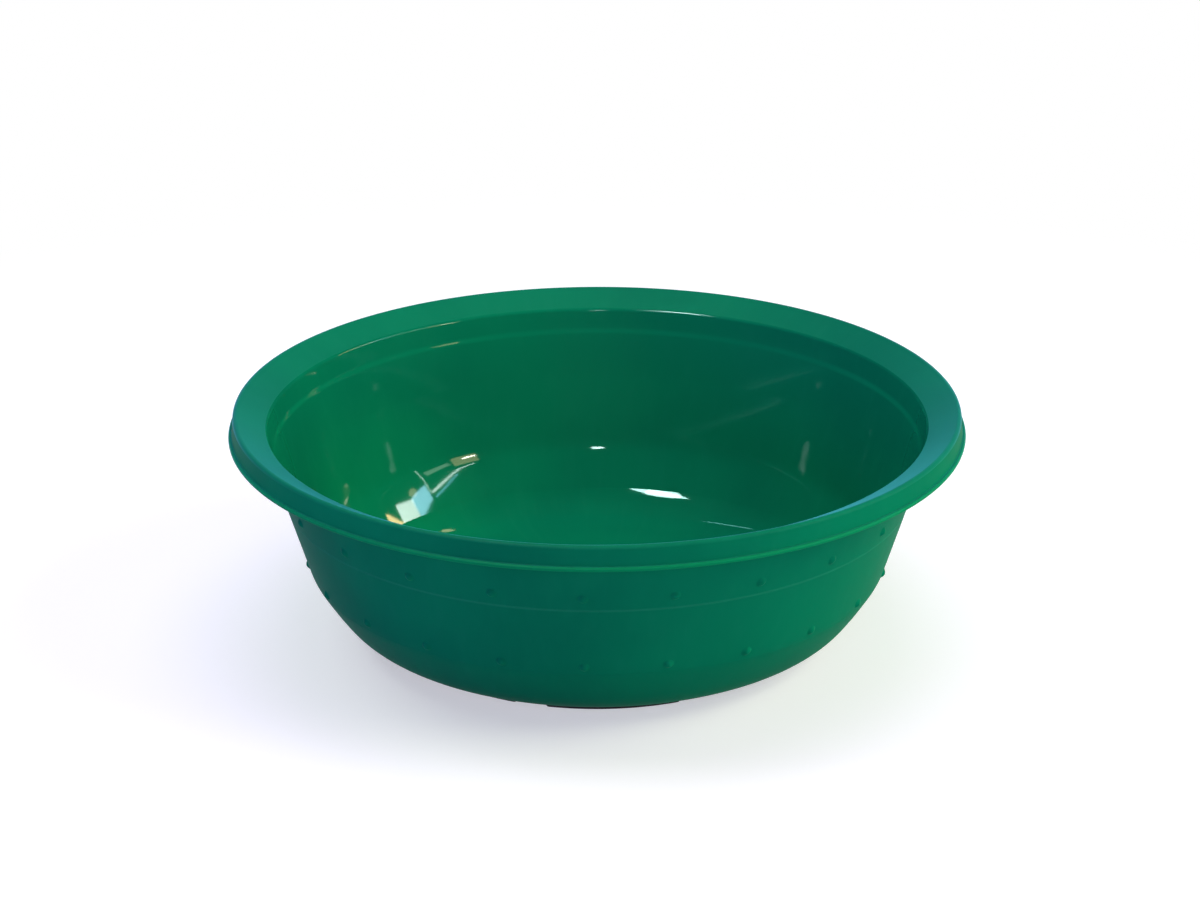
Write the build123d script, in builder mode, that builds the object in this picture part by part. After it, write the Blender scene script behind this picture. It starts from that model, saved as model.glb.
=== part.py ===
"""Round plastic basin with a sloping rim, standing on eight anti-slip foot pads.

Millimetres and degrees. +Z is up, the origin is the centre of the circle that the pads stand on,
and -Y is the front.
"""

from build123d import *
from math import radians, tan
import os

# Rim
rim_radius = 200.4  # outer top edge
rim_width = 18.5  # from that edge in to the mouth
rim_fall = 9.3  # the mouth lies this far below the outer edge
rim_edge_bend = 2.0
mouth_bend = 3.2
skirt_depth = 14.3  # turned-down edge of the rim
skirt_flare = 1.2  # the skirt's foot stands this far outside its top
hem_height = 2.5
hem_proud = 1.6
hem_bend = 1.1

# Bowl, from the mouth down, along its inner face
wall = 2.6
collar_depth = 11.1
collar_taper = 2.9  # radius lost down the collar
step_width = 1.4  # ledge under the collar
step_drop = 1.0
step_bend = 0.6
upper_band_depth = 26.4
upper_band_draft = 13.9
middle_band_depth = 42.0
middle_band_draft = 17.3
lower_band_depth = 33.4
lower_band_draft = 35.1
ring_bend = 12.0  # between the upper and middle bands
knee_bend = 10.0  # between the middle and lower bands
floor_bend = 32.4
under_bend = 0.5  # inner corners under the rim and the ledge

# Moulded lines and dots on the outside
bead_radius = 0.4
dot_count = 23  # in each row
dot_radius = 2.7
dot_height = 1.4
dot_root = 0.7  # depth of a dot's root in the wall
first_dot_angle = -92.4
upper_dot_gap = 4.6  # from the ring up to the lower edge of a dot
lower_dot_gap = 0.6  # from the knee up to the lower edge of a dot

# Foot ring and pads
foot_set_in = 0.5  # from the edge of the flat underside
foot_depth = 2.4
foot_edge_bend = 0.6
rib = 1.4  # foot ring's rib on each side of a pad
pad_count = 8
pad_gap = 8.3  # angle between two pads
first_pad_angle = -85.6
pad_width = 11.4
pad_stand = 4.0  # pad below the foot ring
pad_corner = 1.8
pad_edge = 0.8
pad_clearance = 0.15
gate_radius = 2.2  # moulding gate left under the middle of the floor
gate_height = 0.8


def beside(corners, distance):
    """Corners of the line that runs to the right of the given corners, at a distance."""
    points = [Vector(*corner) for corner in corners]
    runs = [(after - before).normalized() for before, after in zip(points, points[1:])]
    rights = [Vector(run.Y, -run.X) for run in runs]
    result = [points[0] + rights[0] * distance]
    for point, before, after in zip(points[1:], rights, rights[1:]):
        result.append(point + (before + after) * (distance / (1 + before.dot(after))))
    return result


# Heights, from the standing surface up
underside_z = pad_stand + foot_depth
floor_z = underside_z + wall
knee_z = floor_z + lower_band_depth
ring_z = knee_z + middle_band_depth
ledge_z = ring_z + upper_band_depth
collar_z = ledge_z + step_drop
mouth_z = collar_z + collar_depth
rim_z = mouth_z + rim_fall
skirt_z = rim_z - skirt_depth

# Radii of the inner face, from the rim in
mouth_radius = rim_radius - rim_width
collar_radius = mouth_radius - collar_taper
ledge_radius = collar_radius - step_width
ring_radius = ledge_radius - upper_band_depth * tan(radians(upper_band_draft))
knee_radius = ring_radius - middle_band_depth * tan(radians(middle_band_draft))
floor_corner = knee_radius - lower_band_depth * tan(radians(lower_band_draft))
skirt_radius = rim_radius + skirt_flare

# The skin that shows from above, from the floor's centre out to the skirt's foot
inner_corners = [
    (0, floor_z),
    (floor_corner, floor_z),
    (knee_radius, knee_z),
    (ring_radius, ring_z),
    (ledge_radius, ledge_z),
    (collar_radius, collar_z),
    (mouth_radius, mouth_z),
    (rim_radius, rim_z),
    (skirt_radius, skirt_z),
]
inner_bends = [floor_bend, knee_bend, ring_bend, step_bend, step_bend, mouth_bend, rim_edge_bend]
outer_corners = beside(inner_corners, wall) + [Vector(skirt_radius - wall, skirt_z)]
outer_bends = [floor_bend + wall, knee_bend + wall, ring_bend + wall, *[under_bend] * 4]

# The underside is flat out to flat_radius, and the foot ring and its pads follow from that
floor_turn = radians(90 - lower_band_draft)
flat_radius = outer_corners[1].X - (floor_bend + wall) * tan(floor_turn / 2)
foot_radius = flat_radius - foot_set_in
pad_outer_radius = foot_radius - rib - pad_clearance
pad_inner_radius = pad_outer_radius - pad_width
foot_inner_radius = pad_inner_radius - pad_clearance - rib
pad_span = 360 / pad_count - pad_gap

# Outline of one pad, seen from above, centred on +X
with BuildSketch() as pad_outline:
    with BuildLine():
        outer_arc = CenterArc((0, 0), pad_outer_radius, -pad_span / 2, pad_span)
        inner_arc = CenterArc((0, 0), pad_inner_radius, -pad_span / 2, pad_span)
        Line(outer_arc @ 0, inner_arc @ 0)
        Line(outer_arc @ 1, inner_arc @ 1)
    make_face()
    fillet(pad_outline.vertices(), pad_corner)

with BuildSketch() as pocket_outline:
    add(pad_outline.sketch)
    offset(amount=pad_clearance)

# One dot, a shallow dome whose axis is +X, with its root behind the origin
dome_radius = (dot_radius**2 + dot_height**2) / (2 * dot_height)
with BuildPart() as dot:
    with BuildSketch(Plane.XZ):
        with BuildLine():
            Polyline((dot_height, 0), (-dot_root, 0), (-dot_root, dot_radius), (0, dot_radius))
            RadiusArc((0, dot_radius), (dot_height, 0), dome_radius)
        make_face()
    revolve(axis=Axis.X)

# The moulded basin
with BuildPart() as basin:
    with BuildSketch(Plane.XZ):
        with BuildLine():
            inner_skin = FilletPolyline(*inner_corners, radius=inner_bends)
            outer_skin = FilletPolyline(*outer_corners, radius=outer_bends)
            Line(inner_skin @ 0, outer_skin @ 0)
            Line(inner_skin @ 1, outer_skin @ 1)
        make_face()
        with Locations((skirt_radius + (hem_proud - wall / 2) / 2, skirt_z + hem_height / 2)):
            RectangleRounded(hem_proud + wall / 2, hem_height, min(hem_bend, 0.45 * hem_height))
        knee_arc, ring_arc = outer_skin.edges().filter_by(GeomType.CIRCLE)[1:3]
        with Locations(knee_arc @ 0.5, ring_arc @ 0.5):
            Circle(bead_radius)
    revolve(axis=Axis.Z)

    for arc, gap, draft in (
        (ring_arc, upper_dot_gap, upper_band_draft),
        (knee_arc, lower_dot_gap, middle_band_draft),
    ):
        middle = arc @ 1 + (arc % 1) * (gap + dot_radius)
        with Locations((0, 0, middle.Y)):
            with PolarLocations(middle.X, dot_count, start_angle=first_dot_angle):
                with Locations(Location((0, 0, 0), (0, draft, 0))):
                    add(dot.part)

    with BuildSketch(Plane.XY.offset(underside_z)):
        Circle(foot_radius)
        Circle(foot_inner_radius, mode=Mode.SUBTRACT)
        with PolarLocations(0, pad_count, start_angle=first_pad_angle):
            add(pocket_outline.sketch, mode=Mode.SUBTRACT)
    extrude(amount=-foot_depth)
    foot_edges = basin.edges().filter_by(GeomType.CIRCLE).group_by(Axis.Z)[0]
    fillet(foot_edges.sort_by(SortBy.RADIUS)[-1], foot_edge_bend)

    with BuildSketch(Plane.XY.offset(underside_z)):
        Circle(gate_radius)
    extrude(amount=-gate_height)

os.makedirs("parts", exist_ok=True)
basin.part.label = "basin"
export_step(basin.part, "parts/basin.step")

# The pads, each in its own pocket
for index in range(pad_count):
    turn = first_pad_angle + index * 360 / pad_count
    with BuildPart() as foot_pad:
        with BuildSketch(Plane.XY.rotated((0, 0, turn))):
            add(pad_outline.sketch)
        extrude(amount=underside_z)
        fillet(foot_pad.faces().sort_by(Axis.Z)[0].edges(), pad_edge)
    name = f"foot_pad_{index + 1}"
    foot_pad.part.label = name
    export_step(foot_pad.part, f"parts/{name}.step")
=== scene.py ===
from collections import namedtuple
from math import asin, atan2, ceil, cos, pi, radians, sin, tan
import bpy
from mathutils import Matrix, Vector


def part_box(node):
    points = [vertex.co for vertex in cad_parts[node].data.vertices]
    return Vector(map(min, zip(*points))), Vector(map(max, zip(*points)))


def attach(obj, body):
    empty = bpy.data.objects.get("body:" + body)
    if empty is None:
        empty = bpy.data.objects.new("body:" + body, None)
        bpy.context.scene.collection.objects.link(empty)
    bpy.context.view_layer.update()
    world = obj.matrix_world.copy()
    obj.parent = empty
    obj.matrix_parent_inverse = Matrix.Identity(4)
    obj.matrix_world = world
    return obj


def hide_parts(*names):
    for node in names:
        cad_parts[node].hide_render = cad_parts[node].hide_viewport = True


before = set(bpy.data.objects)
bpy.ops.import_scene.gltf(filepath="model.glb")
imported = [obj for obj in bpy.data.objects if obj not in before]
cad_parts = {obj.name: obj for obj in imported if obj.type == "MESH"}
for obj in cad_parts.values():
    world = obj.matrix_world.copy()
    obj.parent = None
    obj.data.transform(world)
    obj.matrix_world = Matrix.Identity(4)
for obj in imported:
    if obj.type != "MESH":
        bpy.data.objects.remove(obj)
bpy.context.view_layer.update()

from types import SimpleNamespace

import bmesh
import bpy
from mathutils import Quaternion, Vector

bl_info = {
    "name": "Plastic basin",
    "version": (1, 0, 0),
    "blender": (4, 5, 0),
    "location": "3D View > Sidebar > Basin",
    "description": "Moulds a round green plastic basin with its foot pads, and sets it on a studio floor",
    "category": "Object",
}

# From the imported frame
BASIN_LOW, BASIN_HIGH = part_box("basin")
PAD_LOW, PAD_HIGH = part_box("foot_pad_1")
PAD_NODES = sorted(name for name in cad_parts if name.startswith("foot_pad_"))
PAD_PITCH = 2 * pi / len(PAD_NODES)
BODY = "root"

# How finely the pieces are modelled
MERGE = 1e-5  # points closer than this are one
SHARP_EDGE = radians(32)  # a sharper edge isn't shaded smooth
SEED_SIZE = 0.01  # plane that is merged into an outline's first point
ARC_STEP = 0.0003  # length of an arc's steps, where their angle lies between the next two
FINEST_STEP = radians(4.5)
COARSEST_STEP = radians(22.5)
FEWEST_STEPS = 2  # in any arc
BLOCK_ROWS = 4  # across a pad or its pocket
BLOCK_COLUMNS = 28  # along it
CORNER_SEGMENTS = 5  # round its upright corners
EDGE_SEGMENTS = 4  # round a pad's lower edges
END_SLACK = radians(0.1)  # a point this near to a block's end lies on it


def number(name, description, default):
    """A plain number that a user can change."""
    return bpy.props.FloatProperty(name=name, description=description, default=default)


def length(name, description, default):
    """A size in metres that a user can change."""
    return bpy.props.FloatProperty(
        name=name, description=description, default=default, min=0.0, precision=4, unit="LENGTH"
    )


def angle(name, description, degrees):
    """An angle that a user can change."""
    return bpy.props.FloatProperty(
        name=name, description=description, default=radians(degrees), subtype="ANGLE"
    )


def colour(name, description, default):
    """A linear colour that a user can change."""
    return bpy.props.FloatVectorProperty(
        name=name, description=description, default=default, size=3, min=0.0, max=1.0, subtype="COLOR"
    )


def power(name, description, watts):
    """A lamp's power that a user can change."""
    return bpy.props.FloatProperty(
        name=name, description=description, default=watts, min=0.0, unit="POWER"
    )


class RimSizes(bpy.types.PropertyGroup):
    """The sloping rim, its turned-down skirt and the hem along the skirt's foot."""

    reach: length("Reach", "Radius over the hem", BASIN_HIGH.x)
    width: length("Width", "From the rim's outer edge in to the mouth", 0.0185)
    fall: length("Fall", "The mouth lies this far below the outer edge", 0.0093)
    edge_bend: length("Edge bend", "Radius of the rim's outer edge", 0.0020)
    mouth_bend: length("Mouth bend", "Radius of the rim's inner edge", 0.0032)
    skirt_depth: length("Skirt depth", "Height of the turned-down skirt", 0.0143)
    skirt_flare: length("Skirt flare", "The skirt's foot stands this far outside its top", 0.0012)
    hem_height: length("Hem height", "Height of the bead along the skirt's foot", 0.0025)
    hem_proud: length("Hem proud", "The hem stands this far outside the skirt", 0.0016)
    hem_bend: length("Hem bend", "Radius of the hem's outer edges", 0.00122)


class BowlSizes(bpy.types.PropertyGroup):
    """The bowl below the rim, measured down its inner face."""

    underside: length("Underside", "Height of the floor's underside", PAD_HIGH.z)
    wall: length("Wall", "Thickness of the moulding", 0.0026)
    collar_depth: length("Collar depth", "Upright collar under the mouth", 0.0113)
    collar_taper: length("Collar taper", "Radius lost down the collar", 0.0030)
    step_width: length("Step width", "Ledge under the collar", 0.00101)
    step_drop: length("Step drop", "Fall of that ledge", 0.0026)
    step_bend: length("Step bend", "Radius of the ledge's edges", 0.0220)
    upper_depth: length("Upper band depth", "From the ledge down to the ring", 0.0246)
    upper_draft: angle("Upper band draft", "Lean of the upper band", 15.5)
    middle_depth: length("Middle band depth", "From the ring down to the knee", 0.0420)
    middle_draft: angle("Middle band draft", "Lean of the middle band", 17.3)
    lower_depth: length("Lower band depth", "From the knee down to the floor", 0.0334)
    lower_draft: angle("Lower band draft", "Lean of the lower band", 35.1)
    ring_bend: length("Ring bend", "Bend between the upper and middle bands", 0.0120)
    knee_bend: length("Knee bend", "Bend between the middle and lower bands, outside", 0.0326)
    inner_knee_bend: length("Inner knee bend", "The same bend inside", 0.0450)
    knee_lift: length("Knee lift", "The inner face bends this much higher than the outer", 0.0020)
    belly: length("Belly", "The lower band bulges out by this much", 0.0007)
    belly_place: number("Belly place", "Share of the lower band that lies below the bulge", 0.6)
    belly_bend: length("Belly bend", "Radius of that bulge", 0.1550)
    floor_bend: length("Floor bend", "Bend between the lower band and the floor", 0.0335)
    under_bend: length("Under bend", "Inner corners under the rim, the ledge and the foot", 0.0004)
    ring_bead: length("Ring bead", "Radius of the fine line round the ring, outside", 0.00014)
    knee_bead: length("Knee bead", "Radius of the fine line round the knee, outside", 0.00010)


class DotSizes(bpy.types.PropertyGroup):
    """The two rows of raised dots round the outside."""

    count: bpy.props.IntProperty(name="Count", description="Dots in each row", default=23, min=3)
    radius: length("Radius", "Radius of a dot", 0.0027)
    height: length("Height", "A dot is drawn this far out of the wall, and then smoothed", 0.0014)
    first_angle: angle("First angle", "Place of the first dot round the bowl", -92.4)
    margin: length("Margin", "Finely divided wall round a dot", 0.0006)
    upper_gap: length("Upper gap", "From the ring's corner up to the lower edge of a dot", 0.0050)
    lower_gap: length("Lower gap", "From the knee's corner up to the lower edge of a dot", 0.0026)


class FootSizes(bpy.types.PropertyGroup):
    """The foot ring under the floor and the pads in its pockets."""

    bottom: length("Bottom", "Height of the foot ring's underside", BASIN_LOW.z)
    set_in: length("Set in", "From the edge of the flat underside to the foot ring", 0.0005)
    edge_bend: length("Edge bend", "Radius of the foot ring's outer edge", 0.0006)
    rib: length("Rib", "Wall of the foot ring beside a pad", 0.0014)
    pad_width: length("Pad width", "Radial width of a pad", 0.0114)
    pad_gap: angle("Pad gap", "Angle between two pads", 8.3)
    pad_corner: length("Pad corner", "Radius of a pad's upright corners", 0.0018)
    pad_edge: length("Pad edge", "Radius of a pad's lower edges", 0.0008)
    first_pad_angle: angle("First pad angle", "Place of the first pad round the foot", -85.6)
    clearance: length("Clearance", "Gap between a pad and its pocket", 0.00015)
    gate_radius: length("Gate radius", "Stub of the moulding gate under the floor", 0.0022)
    gate_height: length("Gate height", "Height of that stub", 0.0008)


class FinishColours(bpy.types.PropertyGroup):
    """Colours of the moulding and the pads."""

    green: colour("Green", "The plastic where it is clean", (0.0015, 0.185, 0.088))
    deep_green: colour("Deep green", "The plastic's darker mottling", (0.0010, 0.155, 0.078))
    # Also used for the painted highlight along the line round the ring outside
    rubbed_green: colour("Rubbed green", "The plastic where it is scuffed", (0.02, 0.26, 0.14))
    # Painted glow: the hem is given a lighter green, standing in for light that shines through the thin
    # plastic
    edge_green: colour("Edge green", "The thin hem, which light shines through", (0.002, 0.235, 0.088))
    # Painted highlight: the ledge inside is given a lighter green, standing in for the light it catches
    # where it faces up
    ledge_green: colour("Ledge green", "The rubbed ledge inside the bowl", (0.0015, 0.202, 0.095))
    rubber: colour("Rubber", "The foot pads", (0.012, 0.015, 0.015))
    rubber_dust: colour("Rubber dust", "Dust on the foot pads", (0.060, 0.066, 0.064))


class StageSettings(bpy.types.PropertyGroup):
    """The floor, the lamps and the camera."""

    floor_size: length("Floor size", "Side of the square floor", 14.0)
    floor_tone: colour("Floor tone", "Colour of the floor", (0.67, 0.67, 0.73))
    floor_lift: number("Floor lift", "Glow that takes the floor's picture up to white", 0.48)
    shadow_reach: length("Shadow reach", "Beyond this distance the floor is plain white", 0.8)
    sky: colour("Sky", "Colour of the surrounding light", (0.5, 0.75, 1.0))
    sky_strength: number("Sky strength", "Level of the surrounding light", 0.01)
    overhead_power: power("Overhead power", "Large soft lamp above", 33.0)
    window_power: power("Window power", "Warm soft lamp on the right", 41.0)
    front_power: power("Front power", "Bluish soft lamp behind the camera", 16.5)
    cool_power: power("Cool power", "Blue soft lamp low on the left", 18.0)
    left_power: power("Left power", "Soft lamp high on the left", 20.0)
    right_power: power("Right power", "Soft lamp low on the right", 25.0)
    back_power: power("Back power", "Bluish soft lamp behind the basin", 17.0)
    spot_power: power("Spot power", "Warm soft spot that shines on the wall inside, on the left", 68.0)
    spot_spread: angle("Spot spread", "Full angle of that spot's beam", 3.7)
    glint: number("Glint", "Brightness of the panes and tubes that only show in the gloss", 30.0)
    camera_place: bpy.props.FloatVectorProperty(
        name="Camera place", description="Where the camera stands", default=(0.0016, -1.8690, 0.8427),
        size=3, subtype="TRANSLATION", unit="LENGTH",
    )
    camera_fall: angle("Camera fall", "The camera looks down by this angle", 21.57)
    camera_roll: angle("Camera roll", "The camera leans to its right by this angle", 0.1)
    lens: number("Lens", "Focal length in millimetres", 108.66)
    sensor: number("Sensor", "Sensor width in millimetres", 36.0)


# Shaping by hand: selection, drawn outlines and blocks

SELECT_MODES = {"verts": "VERT", "edges": "EDGE", "faces": "FACE"}


def select_only(piece):
    """Makes one piece the selected and active one."""
    bpy.ops.object.select_all(action="DESELECT")
    piece.select_set(True)
    bpy.context.view_layer.objects.active = piece


def pick(piece, kind, test):
    """Selects, in edit mode, the vertices, edges or faces that pass a test."""
    bpy.ops.mesh.select_mode(type=SELECT_MODES[kind])
    bpy.ops.mesh.select_all(action="DESELECT")
    shape = bmesh.from_edit_mesh(piece.data)
    found = [element for element in getattr(shape, kind) if test(element)]
    if not found:
        raise RuntimeError(f"{piece.name}: nothing to select among its {kind}")
    for element in found:
        element.select_set(True)
    shape.select_flush_mode()
    bmesh.update_edit_mesh(piece.data)


def start_outline(name):
    """A new piece in edit mode that is a single selected vertex at the origin."""
    bpy.ops.object.select_all(action="DESELECT")
    bpy.ops.mesh.primitive_plane_add(size=SEED_SIZE)
    piece = bpy.context.object
    piece.name = name
    piece.data.name = name
    bpy.ops.object.mode_set(mode="EDIT")
    bpy.ops.mesh.select_mode(type="VERT")
    bpy.ops.mesh.select_all(action="SELECT")
    bpy.ops.mesh.merge(type="CENTER")
    return piece


def run_on(here, there, longest):
    """Extrudes the end of an outline in a straight run, in steps no longer than given."""
    steps = ceil((there - here).length / longest)
    for _ in range(steps):
        step = (there - here) / steps
        bpy.ops.mesh.extrude_vertices_move(TRANSFORM_OT_translate={"value": (step.x, 0.0, step.y)})


def bend_on(centre, turn, bend):
    """Extrudes the end of an outline round a centre, in steps of a smaller angle on a wider bend."""
    step = min(COARSEST_STEP, max(FINEST_STEP, ARC_STEP / bend))
    steps = max(FEWEST_STEPS, ceil(abs(turn) / step))
    bpy.ops.mesh.spin(steps=steps, angle=turn, center=(centre.x, 0.0, centre.y), axis=(0, -1, 0))


Corner = namedtuple("Corner", "place bend bead", defaults=(0.0, 0.0))


def draw_outline(corners, longest):
    """Draws a line through the corners, with their bends as arcs and their beads as half rounds."""
    here = corners[0].place
    bpy.ops.transform.translate(value=(here.x, 0.0, here.y))
    for before, corner, after in zip(corners, corners[1:], corners[2:]):
        arrive = (corner.place - before.place).normalized()
        leave = (after.place - corner.place).normalized()
        turn = arrive.angle_signed(leave)
        reach = corner.bend * tan(abs(turn) / 2)
        run_on(here, corner.place - arrive * reach, longest)
        here = corner.place + leave * reach
        if not corner.bend:
            continue
        inward = (leave - arrive).normalized()
        centre = corner.place + inward * (corner.bend / cos(turn / 2))
        if not corner.bead:
            bend_on(centre, turn, corner.bend)
            continue
        side = 1 if turn > 0 else -1
        share = 2 * asin(corner.bead / (2 * corner.bend))
        part = turn / 2 - side * share
        bend_on(centre, part, corner.bend)
        bend_on(centre - inward * corner.bend, -side * (pi + share), corner.bead)
        bend_on(centre, part, corner.bend)
    run_on(here, corners[-1].place, longest)


def turn_round(steps, sweep):
    """Spins the whole outline about the upright axis, clockwise from +X, and merges what meets."""
    bpy.ops.mesh.select_all(action="SELECT")
    bpy.ops.mesh.spin(steps=steps, angle=sweep, center=(0, 0, 0), axis=(0, 0, 1))
    bpy.ops.mesh.select_all(action="SELECT")
    bpy.ops.mesh.remove_doubles(threshold=MERGE)
    bpy.ops.mesh.normals_make_consistent(inside=False)


def turned(piece, turn):
    """Turns a piece about the upright axis and applies that to its mesh."""
    select_only(piece)
    piece.rotation_euler = (0.0, 0.0, turn)
    bpy.ops.object.transform_apply(location=True, rotation=True, scale=True)
    return piece


def arc_block(name, inner, outer, span, low, high, corner):
    """A block bent round the upright axis, centred on +X, with rounded upright corners."""
    piece = start_outline(name)
    bpy.ops.transform.translate(value=(inner, 0.0, low))
    run_on(Vector((inner, low)), Vector((outer, low)), (outer - inner) / BLOCK_ROWS)
    turn_round(BLOCK_COLUMNS, span)

    def is_corner(vert):
        across = vert.co.xy.length
        along = atan2(vert.co.y, vert.co.x)
        at_end = min(abs(along), abs(along + span)) < END_SLACK
        at_side = min(abs(across - inner), abs(across - outer)) < MERGE
        return at_end and at_side

    pick(piece, "verts", is_corner)
    bpy.ops.mesh.bevel(affect="VERTICES", offset=corner, segments=CORNER_SEGMENTS)
    bpy.ops.mesh.select_all(action="SELECT")
    bpy.ops.mesh.extrude_region_move(TRANSFORM_OT_translate={"value": (0.0, 0.0, high - low)})
    bpy.ops.mesh.select_all(action="SELECT")
    bpy.ops.mesh.normals_make_consistent(inside=False)
    bpy.ops.object.mode_set(mode="OBJECT")
    return turned(piece, span / 2)


def set_round(first, first_angle):
    """Copies a block that is centred on +X, and turns it and its copies to the places of the pads."""
    blocks = [first]
    for _ in PAD_NODES[1:]:
        copy = first.copy()
        copy.data = first.data.copy()
        bpy.context.scene.collection.objects.link(copy)
        blocks.append(copy)
    for index, block in enumerate(blocks):
        turned(block, first_angle + index * PAD_PITCH)
    return blocks


def seat(piece, material, slot, *nodes):
    """Gives a finished piece its material, and puts it on its body in place of its CAD nodes."""
    piece.data.materials.clear()
    piece.data.materials.append(material)
    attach(piece, BODY)
    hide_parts(*nodes)


# Sizes that follow from the driving ones


def beside(corners, distance):
    """Corners of the line that runs to the right of the given corners, at a distance."""
    runs = [(after - before).normalized() for before, after in zip(corners, corners[1:])]
    rights = [Vector((run.y, -run.x)) for run in runs]
    result = [corners[0] + rights[0] * distance]
    for corner, before, after in zip(corners[1:], rights, rights[1:]):
        result.append(corner + (before + after) * (distance / (1 + before.dot(after))))
    return result


Section = namedtuple("Section", "middle floor belly knee ring ledge collar mouth rim skirt")


def bowl_skins(rim, bowl):
    """Corners of the face that shows from above, floor to skirt, and of the face behind it."""
    floor = bowl.underside + bowl.wall
    knee = floor + bowl.lower_depth
    ring = knee + bowl.middle_depth
    ledge = ring + bowl.upper_depth
    collar = ledge + bowl.step_drop
    mouth = collar + bowl.collar_depth
    top = mouth + rim.fall
    skirt_radius = rim.reach - rim.hem_proud
    rim_radius = skirt_radius - rim.skirt_flare
    mouth_radius = rim_radius - rim.width
    collar_radius = mouth_radius - bowl.collar_taper
    ledge_radius = collar_radius - bowl.step_width
    ring_radius = ledge_radius - bowl.upper_depth * tan(bowl.upper_draft)
    knee_radius = ring_radius - bowl.middle_depth * tan(bowl.middle_draft)
    floor_radius = knee_radius - bowl.lower_depth * tan(bowl.lower_draft)
    floor_corner = Vector((floor_radius, floor))
    knee_corner = Vector((knee_radius, knee))
    outwards = Vector((cos(bowl.lower_draft), -sin(bowl.lower_draft)))
    inner = Section(
        middle=Vector((0.0, floor)),
        floor=floor_corner,
        belly=floor_corner.lerp(knee_corner, bowl.belly_place) + outwards * bowl.belly,
        knee=knee_corner,
        ring=Vector((ring_radius, ring)),
        ledge=Vector((ledge_radius, ledge)),
        collar=Vector((collar_radius, collar)),
        mouth=Vector((mouth_radius, mouth)),
        rim=Vector((rim_radius, top)),
        skirt=Vector((skirt_radius, top - rim.skirt_depth)),
    )
    skirt_back = Vector((inner.skirt.x - bowl.wall, inner.skirt.y))
    outer = Section(*beside(inner, bowl.wall), skirt_back)
    lifted = knee_corner + Vector((tan(bowl.middle_draft), 1.0)) * bowl.knee_lift
    return inner._replace(knee=lifted), outer


def foot_radii(bowl, foot, outer):
    """Radii of the foot ring and of the pads in it, worked in from the flat underside."""
    rise = outer.belly - outer.floor
    flat = outer.floor.x - (bowl.floor_bend + bowl.wall) * tan(atan2(rise.y, rise.x) / 2)
    ring_outer = flat - foot.set_in
    pad_outer = ring_outer - foot.rib - foot.clearance
    pad_inner = pad_outer - foot.pad_width
    return SimpleNamespace(
        ring_outer=ring_outer,
        ring_inner=pad_inner - foot.clearance - foot.rib,
        pad_outer=pad_outer,
        pad_inner=pad_inner,
        pad_span=PAD_PITCH - foot.pad_gap,
    )


def dot_rows(dots, outer):
    """Each row of dots as its middle in the section, and the direction up the wall there."""
    rows = []
    for corner, above, gap in (
        (outer.ring, outer.ledge, dots.upper_gap),
        (outer.knee, outer.ring, dots.lower_gap),
    ):
        up = (above - corner).normalized()
        rows.append((corner + up * (gap + dots.radius), up))
    return rows


def basin_outline(rim, bowl, dots, foot):
    """The basin's section: up the inner face, over the rim and hem, and down the outer face."""
    inner, outer = bowl_skins(rim, bowl)
    radii = foot_radii(bowl, foot, outer)
    corners = [
        Corner(inner.middle),
        Corner(inner.floor, bowl.floor_bend),
        Corner(inner.belly, bowl.belly_bend),
        Corner(inner.knee, bowl.inner_knee_bend),
        Corner(inner.ring, bowl.ring_bend),
        Corner(inner.ledge, bowl.step_bend),
        Corner(inner.collar, bowl.step_bend),
        Corner(inner.mouth, rim.mouth_bend),
        Corner(inner.rim, rim.edge_bend),
    ]

    hem_top = inner.rim.lerp(inner.skirt, 1 - rim.hem_height / rim.skirt_depth)
    hem_face = inner.skirt.x + rim.hem_proud
    corners += [
        Corner(hem_top, bowl.under_bend),
        Corner(Vector((hem_face, hem_top.y)), rim.hem_bend),
        Corner(Vector((hem_face, inner.skirt.y)), rim.hem_bend),
        Corner(outer.skirt, bowl.under_bend),
    ]

    for place in (outer.rim, outer.mouth, outer.collar, outer.ledge):
        corners.append(Corner(place, bowl.under_bend))
    half = dots.radius + dots.margin
    upper_row, lower_row = dot_rows(dots, outer)
    for row, steps, bend in (
        (upper_row, (half, 0.0, -half), Corner(outer.ring, bowl.ring_bend + bowl.wall, bowl.ring_bead)),
        (lower_row, (half, 0.0), Corner(outer.knee, bowl.knee_bend, bowl.knee_bead)),
    ):
        middle, up = row
        corners += [Corner(middle + up * step) for step in steps]
        corners.append(bend)
    corners.append(Corner(outer.belly, bowl.belly_bend + bowl.wall))
    corners.append(Corner(outer.floor, bowl.floor_bend + bowl.wall))

    gate_end = bowl.underside - foot.gate_height
    corners += [
        Corner(Vector((radii.ring_outer, bowl.underside)), bowl.under_bend),
        Corner(Vector((radii.ring_outer, foot.bottom)), foot.edge_bend),
        Corner(Vector((radii.ring_inner, foot.bottom)), bowl.under_bend),
        Corner(Vector((radii.ring_inner, bowl.underside)), bowl.under_bend),
        Corner(Vector((foot.gate_radius, bowl.underside)), bowl.under_bend / 2),
        Corner(Vector((foot.gate_radius, gate_end)), bowl.under_bend / 2),
        Corner(Vector((0.0, gate_end))),
    ]
    return corners


# Finishes


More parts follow.
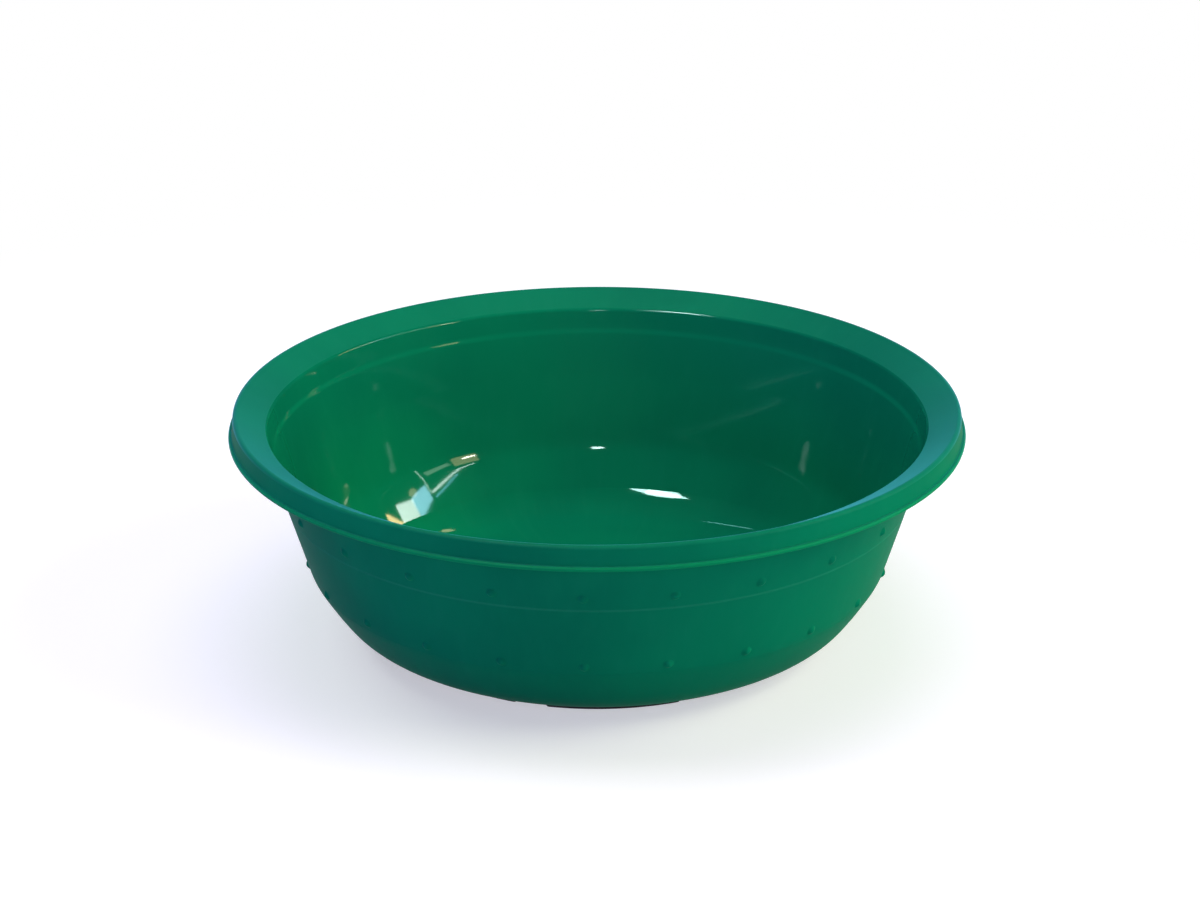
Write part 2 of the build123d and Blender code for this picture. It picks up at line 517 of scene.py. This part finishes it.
class Signal:
    """A shader socket that takes part in Python sums by adding Math nodes."""

    def __init__(self, paint, socket):
        self.paint = paint
        self.socket = socket

    def output(self, name):
        """Another output of the same node."""
        return Signal(self.paint, self.socket.node.outputs[name])

    def math(self, operation, first, second):
        """A Math node on two values or signals."""
        return self.paint.node("ShaderNodeMath", {"operation": operation}, {0: first, 1: second})

    def __add__(self, other):
        return self.math("ADD", self, other)

    def __radd__(self, other):
        return self.math("ADD", other, self)

    def __sub__(self, other):
        return self.math("SUBTRACT", self, other)

    def __rsub__(self, other):
        return self.math("SUBTRACT", other, self)

    def __mul__(self, other):
        return self.math("MULTIPLY", self, other)

    def __rmul__(self, other):
        return self.math("MULTIPLY", other, self)

    def __truediv__(self, other):
        return self.math("DIVIDE", self, other)

    def __rtruediv__(self, other):
        return self.math("DIVIDE", other, self)

    def __pow__(self, other):
        return self.math("POWER", self, other)

    def __rpow__(self, other):
        return self.math("POWER", other, self)


class Paint:
    """The nodes of one material or world."""

    # Sockets of a Mix node that mixes colours, which share their names with its other sockets
    mix_share = 0
    mix_first = 6
    mix_second = 7
    mix_result = 2

    def __init__(self, owner):
        owner.use_nodes = True
        self.tree = owner.node_tree
        self.tree.nodes.clear()

    def node(self, kind, settings=None, inputs=None, output=0):
        """Adds a node: its settings are set first, then the values or links of its sockets."""
        node = self.tree.nodes.new(kind)
        for name, value in (settings or {}).items():
            setattr(node, name, value)
        for name, value in (inputs or {}).items():
            if isinstance(value, Signal):
                self.tree.links.new(value.socket, node.inputs[name])
            else:
                node.inputs[name].default_value = value
        return Signal(self, node.outputs[output]) if len(node.outputs) else None

    def noise(self, place, scale, detail):
        """Soft random values between 0 and 1."""
        return self.node("ShaderNodeTexNoise", inputs={"Vector": place, "Scale": scale, "Detail": detail})

    def ease(self, value, low, high):
        """0 below low, 1 above high, smooth between."""
        return self.node(
            "ShaderNodeMapRange", {"interpolation_type": "SMOOTHSTEP"},
            {"Value": value, "From Min": low, "From Max": high},
        )

    def band(self, value, low, high, soft):
        """1 between low and high, fading to 0 on both sides."""
        return self.ease(value, low - soft, low + soft) - self.ease(value, high - soft, high + soft)

    def blend(self, share, first, second):
        """A colour between two colours."""
        return self.node(
            "ShaderNodeMix", {"data_type": "RGBA", "blend_type": "MIX"},
            {self.mix_share: share, self.mix_first: first, self.mix_second: second}, self.mix_result,
        )

    def hairlines(self, place, turn, scale):
        """Fine marks that run one way."""
        stretch = {"Vector": place, "Rotation": turn, "Scale": scale}
        stretched = self.node("ShaderNodeMapping", inputs=stretch)
        return self.ease(self.noise(stretched, scale=1.0, detail=1.0), low=0.73, high=0.78)


def opaque(value):
    """A property's colour with full alpha, for a colour socket."""
    return (*value, 1.0)


Finish = namedtuple("Finish", "name roughness wander specular sheen grain ledge_rub line_rub")
POLISHED = Finish(
    "polished_green_plastic", roughness=0.035, wander=0.03, specular=0.28, sheen=0.0, grain=0.0,
    ledge_rub=1.0, line_rub=0.0,
)
SATIN = Finish(
    "satin_green_plastic", roughness=0.38, wander=0.08, specular=0.03, sheen=0.65, grain=0.25,
    ledge_rub=0.0, line_rub=0.4,
)
MATTE = Finish(
    "matte_green_plastic", roughness=0.42, wander=0.08, specular=0.006, sheen=0.0, grain=0.25,
    ledge_rub=0.0, line_rub=0.4,
)
SHEEN_TINT = (0.12, 0.68, 1.0, 1.0)

# Marks on the plastic, and the painted glow on the hem: how far each takes on its own colour, roughens the
# face and stands out of it
FLOW_SHARE = 0.06
FLOW_RISE = 2.0  # flow marks change this much faster up the wall than along it
HEM_GLOW_SHARE = 0.95
SCRATCH_SHARE = 0.06
SCRATCH_ROUGHNESS = 0.12
SCRATCH_DEPTH = 0.05
SPECK_SHARE = 0.15
SPECK_ROUGHNESS = 0.06
RIPPLE_HEIGHT = 0.9

# Painted highlights on the ledge inside and along the line round the ring outside, in metres
LEDGE_FADE = 0.0010
LINE_BELOW = 0.0007
LINE_ABOVE = 0.0005
LINE_FADE = 0.0007

# Dust on the pads
DUST_HEIGHT = 0.003
DUST_SHARE = 0.6


def moulded_plastic(finish, colours, rim, bowl):
    """Green plastic, mottled and scratched a little, with a painted glow on the hem and painted highlights
    on the ledge and the ring line.
    """
    material = bpy.data.materials.new(finish.name)
    paint = Paint(material)
    place = paint.node("ShaderNodeTexCoord", output="Object")
    x = paint.node("ShaderNodeSeparateXYZ", inputs={0: place})
    y = x.output("Y")
    z = x.output("Z")
    radius = (x * x + y * y) ** 0.5
    heading = paint.node(
        "ShaderNodeCombineXYZ", inputs={"X": x / radius, "Y": y / radius, "Z": z * FLOW_RISE}
    )

    mottle = paint.noise(place, scale=9.0, detail=3.0)
    flow = paint.noise(heading, scale=26.0, detail=3.0)
    ripple = paint.noise(place, scale=34.0, detail=1.0)
    grain = paint.noise(place, scale=1500.0, detail=1.0)
    specks = paint.ease(paint.noise(place, scale=900.0, detail=1.0), low=0.82, high=0.86)
    patches = paint.ease(paint.noise(place, scale=14.0, detail=2.0), low=0.56, high=0.72)
    scratches = patches * (
        paint.hairlines(place, turn=(0.3, 0.2, 0.9), scale=(700.0, 20.0, 90.0))
        + paint.hairlines(place, turn=(0.1, 0.5, 2.2), scale=(600.0, 16.0, 80.0))
    )
    inner, outer = bowl_skins(rim, bowl)
    # Mask of the painted glow along the hem
    hem = paint.ease(radius, rim.reach - rim.hem_proud, rim.reach - rim.hem_proud / 4)
    # Mask of the painted highlight on the ledge inside
    ledge = paint.band(z, inner.ledge.y, inner.collar.y, LEDGE_FADE)
    # Mask of the painted highlight along the line round the ring outside
    line = paint.band(z, outer.ring.y - LINE_BELOW, outer.ring.y + LINE_ABOVE, LINE_FADE)

    green = opaque(colours.green)
    # Pale green of scuffs, flow marks and specks, which also paints the highlight along the ring line
    rubbed = opaque(colours.rubbed_green)
    tone = paint.blend(paint.ease(mottle, low=0.35, high=0.70), opaque(colours.deep_green), green)
    tone = paint.blend(paint.ease(flow, low=0.45, high=0.80) * FLOW_SHARE, tone, rubbed)
    # Painted highlight on the ledge, only on the polished inner face
    tone = paint.blend(ledge * finish.ledge_rub, tone, opaque(colours.ledge_green))
    # Painted highlight along the ring line, standing in for the light its fine bead catches
    tone = paint.blend(line * finish.line_rub, tone, rubbed)
    tone = paint.blend(hem * HEM_GLOW_SHARE, tone, opaque(colours.edge_green))
    tone = paint.blend(scratches * SCRATCH_SHARE + specks * SPECK_SHARE, tone, rubbed)

    roughness = finish.roughness + finish.wander * mottle
    roughness = roughness + SCRATCH_ROUGHNESS * scratches + SPECK_ROUGHNESS * specks
    relief = RIPPLE_HEIGHT * ripple + finish.grain * grain - SCRATCH_DEPTH * scratches
    bumps = paint.node("ShaderNodeBump", inputs={"Strength": 0.5, "Distance": 0.0002, "Height": relief})
    shader = paint.node(
        "ShaderNodeBsdfPrincipled",
        inputs={
            "Base Color": tone, "Roughness": roughness, "Normal": bumps,
            "IOR": 1.49, "Specular IOR Level": finish.specular,
            "Sheen Weight": finish.sheen, "Sheen Roughness": 0.35, "Sheen Tint": SHEEN_TINT,
        },
    )
    paint.node("ShaderNodeOutputMaterial", inputs={"Surface": shader})
    return material


def pad_rubber(colours):
    """Dark matte rubber with a fine grain and dust along its lower edge."""
    material = bpy.data.materials.new("foot_pad_rubber")
    paint = Paint(material)
    place = paint.node("ShaderNodeTexCoord", output="Object")
    z = paint.node("ShaderNodeSeparateXYZ", inputs={0: place}).output("Z")
    grain = paint.noise(place, scale=1400.0, detail=2.0)
    clouds = paint.noise(place, scale=60.0, detail=3.0)
    low = 1 - paint.ease(z, low=0.0, high=DUST_HEIGHT)
    dust = paint.ease(clouds, low=0.4, high=0.75) * low * DUST_SHARE
    tone = paint.blend(dust, opaque(colours.rubber), opaque(colours.rubber_dust))
    bumps = paint.node("ShaderNodeBump", inputs={"Strength": 0.35, "Distance": 0.00015, "Height": grain})
    shader = paint.node(
        "ShaderNodeBsdfPrincipled",
        inputs={
            "Base Color": tone, "Roughness": 0.62 + 0.2 * clouds, "Normal": bumps,
            "Specular IOR Level": 0.35,
        },
    )
    paint.node("ShaderNodeOutputMaterial", inputs={"Surface": shader})
    return material


def studio_floor(stage):
    """Pale floor with the basin's shadow, which turns plain white away from it."""
    material = bpy.data.materials.new("studio_floor")
    paint = Paint(material)
    matte = paint.node("ShaderNodeBsdfDiffuse", inputs={"Color": opaque(stage.floor_tone)})
    seen = paint.node("ShaderNodeLightPath", output="Is Camera Ray")
    seen = seen + seen.output("Is Glossy Ray") + seen.output("Is Transmission Ray")
    lift = paint.node("ShaderNodeEmission", inputs={"Strength": stage.floor_lift * seen})
    near = paint.node("ShaderNodeAddShader", inputs={0: matte, 1: lift})
    white = paint.node("ShaderNodeEmission", inputs={"Strength": 1.0})
    place = paint.node("ShaderNodeTexCoord", output="Object")
    distance = paint.node("ShaderNodeVectorMath", {"operation": "LENGTH"}, {0: place}, "Value")
    away = paint.ease(distance, stage.shadow_reach / 2, stage.shadow_reach)
    both = paint.node("ShaderNodeMixShader", inputs={0: away * seen, 1: near, 2: white})
    paint.node("ShaderNodeOutputMaterial", inputs={"Surface": both})
    return material


# Operators, one for each group of pieces


class BASIN_OT_mould_bowl(bpy.types.Operator):
    """Moulds the basin: bowl, rim, hem, lines, dots and foot ring in one piece"""

    bl_idname = "basin.mould_bowl"
    bl_label = "Mould the basin"

    columns_per_dot = 12
    longest_run = 0.006
    inside_facing = 0.5  # a face inside points inwards and up by more than this, added together
    top_facing = 0.2  # a face of the rim's top points up by more than this
    dot_cuts = 9
    dot_smoothing = 2
    skin_depth = 0.0005  # a face this near to the wall's outer face belongs to it

    def execute(self, context):
        scene = context.scene
        rim, bowl, dots, foot = scene.basin_rim, scene.basin_bowl, scene.basin_dots, scene.basin_foot
        columns = self.columns_per_dot * dots.count
        piece = start_outline("basin_moulding")
        draw_outline(basin_outline(rim, bowl, dots, foot), self.longest_run)
        turn_round(columns, 2 * pi)
        bpy.ops.object.mode_set(mode="OBJECT")
        turned(piece, dots.first_angle)
        _, outer = bowl_skins(rim, bowl)
        self.cut_pockets(piece, bowl, foot, outer)
        for middle, up in dot_rows(dots, outer):
            self.raise_dots(piece, dots, middle, up, columns)
        select_only(piece)
        bpy.ops.object.shade_smooth_by_angle(angle=SHARP_EDGE)
        seat(piece, moulded_plastic(MATTE, scene.basin_colours, rim, bowl), "green_plastic", "basin")
        self.finish_faces(piece, rim, bowl, scene.basin_colours)
        return {"FINISHED"}

    def cut_pockets(self, piece, bowl, foot, outer):
        """Cuts the pads' pockets out of the foot ring."""
        radii = foot_radii(bowl, foot, outer)
        spare = foot.clearance
        first = arc_block(
            "pocket", radii.pad_inner - spare, radii.pad_outer + spare,
            radii.pad_span + 2 * spare / radii.pad_inner,
            foot.bottom - foot.rib, bowl.underside, foot.pad_corner + spare,
        )
        cutters = set_round(first, foot.first_pad_angle)
        for cutter in cutters:
            cutter.select_set(True)
        bpy.context.view_layer.objects.active = first
        bpy.ops.object.join()
        select_only(piece)
        cut = piece.modifiers.new("pockets", "BOOLEAN")
        cut.operation = "DIFFERENCE"
        cut.solver = "EXACT"
        cut.object = first
        bpy.ops.object.modifier_apply(modifier=cut.name)
        bpy.data.objects.remove(first)

    def raise_dots(self, piece, dots, middle, up, columns):
        """Divides the wall finely round each dot of a row, and raises the dots from it."""
        out = Vector((up.y, -up.x))
        pitch = 2 * pi / dots.count
        column = 2 * pi / columns
        half = dots.radius + dots.margin
        tip = half / self.dot_cuts / 4

        def off_dot(place):
            """Distance up the wall and angle round it from the nearest dot, and depth in the wall."""
            section = Vector((place.xy.length, place.z)) - middle
            along = atan2(place.y, place.x) - dots.first_angle
            return section.dot(up), (along + pitch / 2) % pitch - pitch / 2, section.dot(out)

        def in_patch(face):
            rise, swing, depth = off_dot(face.calc_center_median())
            near = abs(rise) < half + dots.margin and abs(swing) < column
            return near and abs(depth) < self.skin_depth

        def distance(vert):
            rise, swing, depth = off_dot(vert.co)
            return Vector((rise, swing * middle.x, depth)).length

        select_only(piece)
        bpy.ops.object.mode_set(mode="EDIT")
        pick(piece, "faces", in_patch)
        bpy.ops.mesh.subdivide(number_cuts=self.dot_cuts)
        pick(piece, "verts", lambda vert: distance(vert) < tip)
        bpy.ops.transform.shrink_fatten(
            value=dots.height, use_proportional_edit=True, use_proportional_connected=True,
            proportional_edit_falloff="INVERSE_SQUARE", proportional_size=dots.radius,
        )
        pick(piece, "verts", lambda vert: distance(vert) < half)
        bpy.ops.mesh.vertices_smooth(factor=0.5, repeat=self.dot_smoothing)
        bpy.ops.object.mode_set(mode="OBJECT")

    def finish_faces(self, piece, rim, bowl, colours):
        """Polishes the inner face, from the floor up to the mouth, and gives the rim a satin top."""
        inner, _ = bowl_skins(rim, bowl)
        mouth = inner.mouth.x + rim.mouth_bend / 4

        def is_inside(face):
            middle = face.calc_center_median()
            inwards = -middle.xy.normalized().dot(face.normal.xy)
            within = middle.z > inner.middle.y - MERGE and middle.xy.length < mouth
            return within and inwards + face.normal.z > self.inside_facing

        def is_rim_top(face):
            return face.calc_center_median().xy.length > mouth and face.normal.z > self.top_facing

        select_only(piece)
        bpy.ops.object.mode_set(mode="EDIT")
        for finish, test in ((POLISHED, is_inside), (SATIN, is_rim_top)):
            piece.data.materials.append(moulded_plastic(finish, colours, rim, bowl))
            pick(piece, "faces", test)
            piece.active_material_index = len(piece.data.materials) - 1
            bpy.ops.object.material_slot_assign()
        bpy.ops.object.mode_set(mode="OBJECT")


class BASIN_OT_press_pads(bpy.types.Operator):
    """Presses the rubber foot pads, one for each pocket"""

    bl_idname = "basin.press_pads"
    bl_label = "Press the foot pads"

    side_facing = 0.5  # a side's normal rises or falls by less than this

    def execute(self, context):
        scene = context.scene
        rim, bowl, foot = scene.basin_rim, scene.basin_bowl, scene.basin_foot
        _, outer = bowl_skins(rim, bowl)
        radii = foot_radii(bowl, foot, outer)
        first = arc_block(
            "pad", radii.pad_inner, radii.pad_outer, radii.pad_span, PAD_LOW.z, PAD_HIGH.z, foot.pad_corner
        )
        bpy.ops.object.mode_set(mode="EDIT")
        pick(first, "edges", self.is_lower_edge)
        bpy.ops.mesh.bevel(affect="EDGES", offset=foot.pad_edge, segments=EDGE_SEGMENTS)
        bpy.ops.object.mode_set(mode="OBJECT")
        bpy.ops.object.shade_smooth_by_angle(angle=SHARP_EDGE)
        rubber = pad_rubber(scene.basin_colours)
        for pad, node in zip(set_round(first, foot.first_pad_angle), PAD_NODES):
            pad.name = f"rubber_{node}"
            pad.data.name = pad.name
            seat(pad, rubber, "pad_rubber", node)
        return {"FINISHED"}

    def is_lower_edge(self, edge):
        """An edge between a pad's standing face and its side."""
        low = all(abs(vert.co.z - PAD_LOW.z) < MERGE for vert in edge.verts)
        return low and any(abs(face.normal.z) < self.side_facing for face in edge.link_faces)


# A lamp's direction is seen from the basin, in degrees: azimuth clockwise from the back, and elevation.
# Its width and height are in metres, and its roll in degrees.
Lamp = namedtuple(
    "Lamp", "name azimuth elevation colour width height roll shape", defaults=(0, 0, 0, "RECTANGLE")
)
SOFT_LAMPS = (
    Lamp("overhead", 0, 84, (0.90, 0.76, 1.0), 2.0, 2.0),
    Lamp("window", 100, 36, (1.0, 1.0, 0.66), 1.6, 1.2),
    Lamp("front", 180, 18, (0.70, 0.70, 1.12), 1.6, 1.0),
    Lamp("cool", -100, 8, (0.20, 0.13, 1.0), 2.2, 0.6),
    Lamp("left", -90, 55, (0.95, 1.0, 0.86), 1.2, 0.8),
    Lamp("right", 95, 6, (0.85, 0.85, 1.0), 2.2, 0.5),
    Lamp("back", 0, 18, (0.60, 0.92, 1.0), 3.4, 1.4),
)
SPOT = Lamp("spot", 130, 36, (1.0, 1.0, 0.55))
WINDOW_GLINTS = (
    Lamp("orange_pane", 72.6, 25.8, (1.0, 0.66, 0.30), 0.36, 0.09, 47),
    Lamp("white_pane", 80.3, 27.8, (0.75, 0.88, 0.82), 0.38, 0.16, 25),
    Lamp("blue_pane", 89.6, 30.3, (0.30, 0.62, 0.80), 0.38, 0.18, 8),
    Lamp("side_frame", 96.4, 23.2, (0.5, 0.75, 0.65), 0.02, 0.76, 6),
    Lamp("top_frame", 109.0, 32.4, (0.7, 0.9, 0.85), 0.96, 0.03),
    Lamp("under_frame", 104.0, 33.6, (0.15, 0.45, 0.6), 0.56, 0.02),
    Lamp("streak", 105.4, 24.4, (0.12, 0.18, 0.14), 0.52, 0.18, -6),
    Lamp("warm_wall", 119.8, 24.0, (0.22, 0.18, 0.09), 0.48, 0.48, 4),
    Lamp("lit_wall", 122.5, 22.0, (2.4, 2.4, 1.9), 0.26, 0.08),
    Lamp("cream_patch", 87.7, 27.4, (0.17, 0.15, 0.09), 0.19, 0.09, 20, "ELLIPSE"),
    Lamp("cream_streak", 38.0, 53.6, (0.22, 0.18, 0.10), 0.34, 0.09, 0, "ELLIPSE"),
)
TUBE_GLINTS = (
    Lamp("tube", -140, 58, (0.8, 1.4, 1.35), 0.95, 0.22, 0, "ELLIPSE"),
    Lamp("tube_belly", -136.5, 58, (0.8, 1.3, 1.25), 0.56, 0.46, 0, "ELLIPSE"),
    Lamp("bulb", 180, 32.5, (1.1, 1.6, 1.6), 0.22, 0.15, 0, "ELLIPSE"),
    Lamp("thin_tube", -38, 57, (0.25, 0.8, 0.8), 0.53, 0.02, 35),
)


class BASIN_OT_set_stage(bpy.types.Operator):
    """Lays the floor, hangs the lamps and sets the camera"""

    bl_idname = "basin.set_stage"
    bl_label = "Set the stage"

    aim = Vector((0.0, 0.0, 0.06))
    spot_aim = Vector((-0.124, 0.082, 0.032))
    lamp_distance = 2.5

    def execute(self, context):
        scene = context.scene
        stage = scene.basin_stage
        self.lay_floor(stage)
        for lamp in SOFT_LAMPS:
            light = self.hang_panel(lamp, getattr(stage, f"{lamp.name}_power"))
            light.visible_glossy = False
        for lamp in WINDOW_GLINTS + TUBE_GLINTS:
            # Power follows size, so that a small pane is as bright as a large one
            light = self.hang_panel(lamp, stage.glint * pi * lamp.width * lamp.height)
            light.visible_diffuse = False
        self.hang_spot(stage)
        self.light_sky(scene, stage)
        self.set_camera(scene, stage)
        scene.view_settings.view_transform = "Standard"
        return {"FINISHED"}

    def lay_floor(self, stage):
        """Lays a square floor under the basin."""
        bpy.ops.object.select_all(action="DESELECT")
        bpy.ops.mesh.primitive_plane_add(size=stage.floor_size)
        floor = bpy.context.object
        floor.name = "studio_floor"
        floor.data.materials.append(studio_floor(stage))

    def hang(self, kind, lamp, aim, watts):
        """Hangs a lamp that faces a place on the basin and doesn't show in the picture."""
        turn = radians(lamp.azimuth)
        rise = radians(lamp.elevation)
        towards = Vector((sin(turn) * cos(rise), cos(turn) * cos(rise), sin(rise)))
        tilt = Quaternion((0.0, 0.0, 1.0), -radians(lamp.roll))
        facing = ((-towards).to_track_quat("-Z", "Y") @ tilt).to_euler()
        bpy.ops.object.light_add(type=kind, location=aim + towards * self.lamp_distance, rotation=facing)
        light = bpy.context.object
        light.name = f"lamp_{lamp.name}"
        light.data.energy = watts
        light.data.color = lamp.colour
        light.visible_camera = False
        return light

    def hang_panel(self, lamp, watts):
        """Hangs a flat lamp that faces the basin's middle."""
        light = self.hang("AREA", lamp, self.aim, watts)
        light.data.shape = lamp.shape
        light.data.size = lamp.width
        light.data.size_y = lamp.height
        return light

    def hang_spot(self, stage):
        """Hangs the soft spot, which shines over the front right rim on the wall inside."""
        light = self.hang("SPOT", SPOT, self.spot_aim, stage.spot_power)
        light.data.spot_size = stage.spot_spread
        light.data.spot_blend = 1.0
        light.visible_glossy = False

    def light_sky(self, scene, stage):
        """Gives the scene a faint even light from all round."""
        world = bpy.data.worlds.new("studio_sky")
        scene.world = world
        paint = Paint(world)
        sky = paint.node(
            "ShaderNodeBackground", inputs={"Color": opaque(stage.sky), "Strength": stage.sky_strength}
        )
        paint.node("ShaderNodeOutputWorld", inputs={"Surface": sky})

    def set_camera(self, scene, stage):
        """Sets the camera at the photograph's viewing angle."""
        tilt = (pi / 2 - stage.camera_fall, 0.0, 0.0)
        bpy.ops.object.camera_add(location=stage.camera_place, rotation=tilt)
        camera = bpy.context.object
        camera.rotation_euler.rotate_axis("Z", -stage.camera_roll)
        camera.data.lens = stage.lens
        camera.data.sensor_fit = "HORIZONTAL"
        camera.data.sensor_width = stage.sensor
        scene.camera = camera


class BASIN_PT_panel(bpy.types.Panel):
    """The basin's sizes and its operators in the 3D view's sidebar"""

    bl_label = "Plastic basin"
    bl_space_type = "VIEW_3D"
    bl_region_type = "UI"
    bl_category = "Basin"

    def draw(self, context):
        layout = self.layout
        for operator in OPERATORS:
            layout.operator(operator.bl_idname)
        for name in GROUPS:
            box = layout.box()
            settings = getattr(context.scene, name)
            for key in settings.__annotations__:
                box.prop(settings, key)


OPERATORS = (BASIN_OT_mould_bowl, BASIN_OT_press_pads, BASIN_OT_set_stage)
GROUPS = {
    "basin_rim": RimSizes,
    "basin_bowl": BowlSizes,
    "basin_dots": DotSizes,
    "basin_foot": FootSizes,
    "basin_colours": FinishColours,
    "basin_stage": StageSettings,
}


def register():
    for group in GROUPS.values():
        bpy.utils.register_class(group)
    for cls in (*OPERATORS, BASIN_PT_panel):
        bpy.utils.register_class(cls)
    for name, group in GROUPS.items():
        setattr(bpy.types.Scene, name, bpy.props.PointerProperty(type=group))


def unregister():
    for name in GROUPS:
        delattr(bpy.types.Scene, name)
    for cls in (BASIN_PT_panel, *reversed(OPERATORS)):
        bpy.utils.unregister_class(cls)
    for group in reversed(GROUPS.values()):
        bpy.utils.unregister_class(group)


def main():
    """Registers the add-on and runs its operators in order."""
    register()
    bpy.ops.basin.mould_bowl()
    bpy.ops.basin.press_pads()
    bpy.ops.basin.set_stage()


if __name__ == "__main__":
    main()
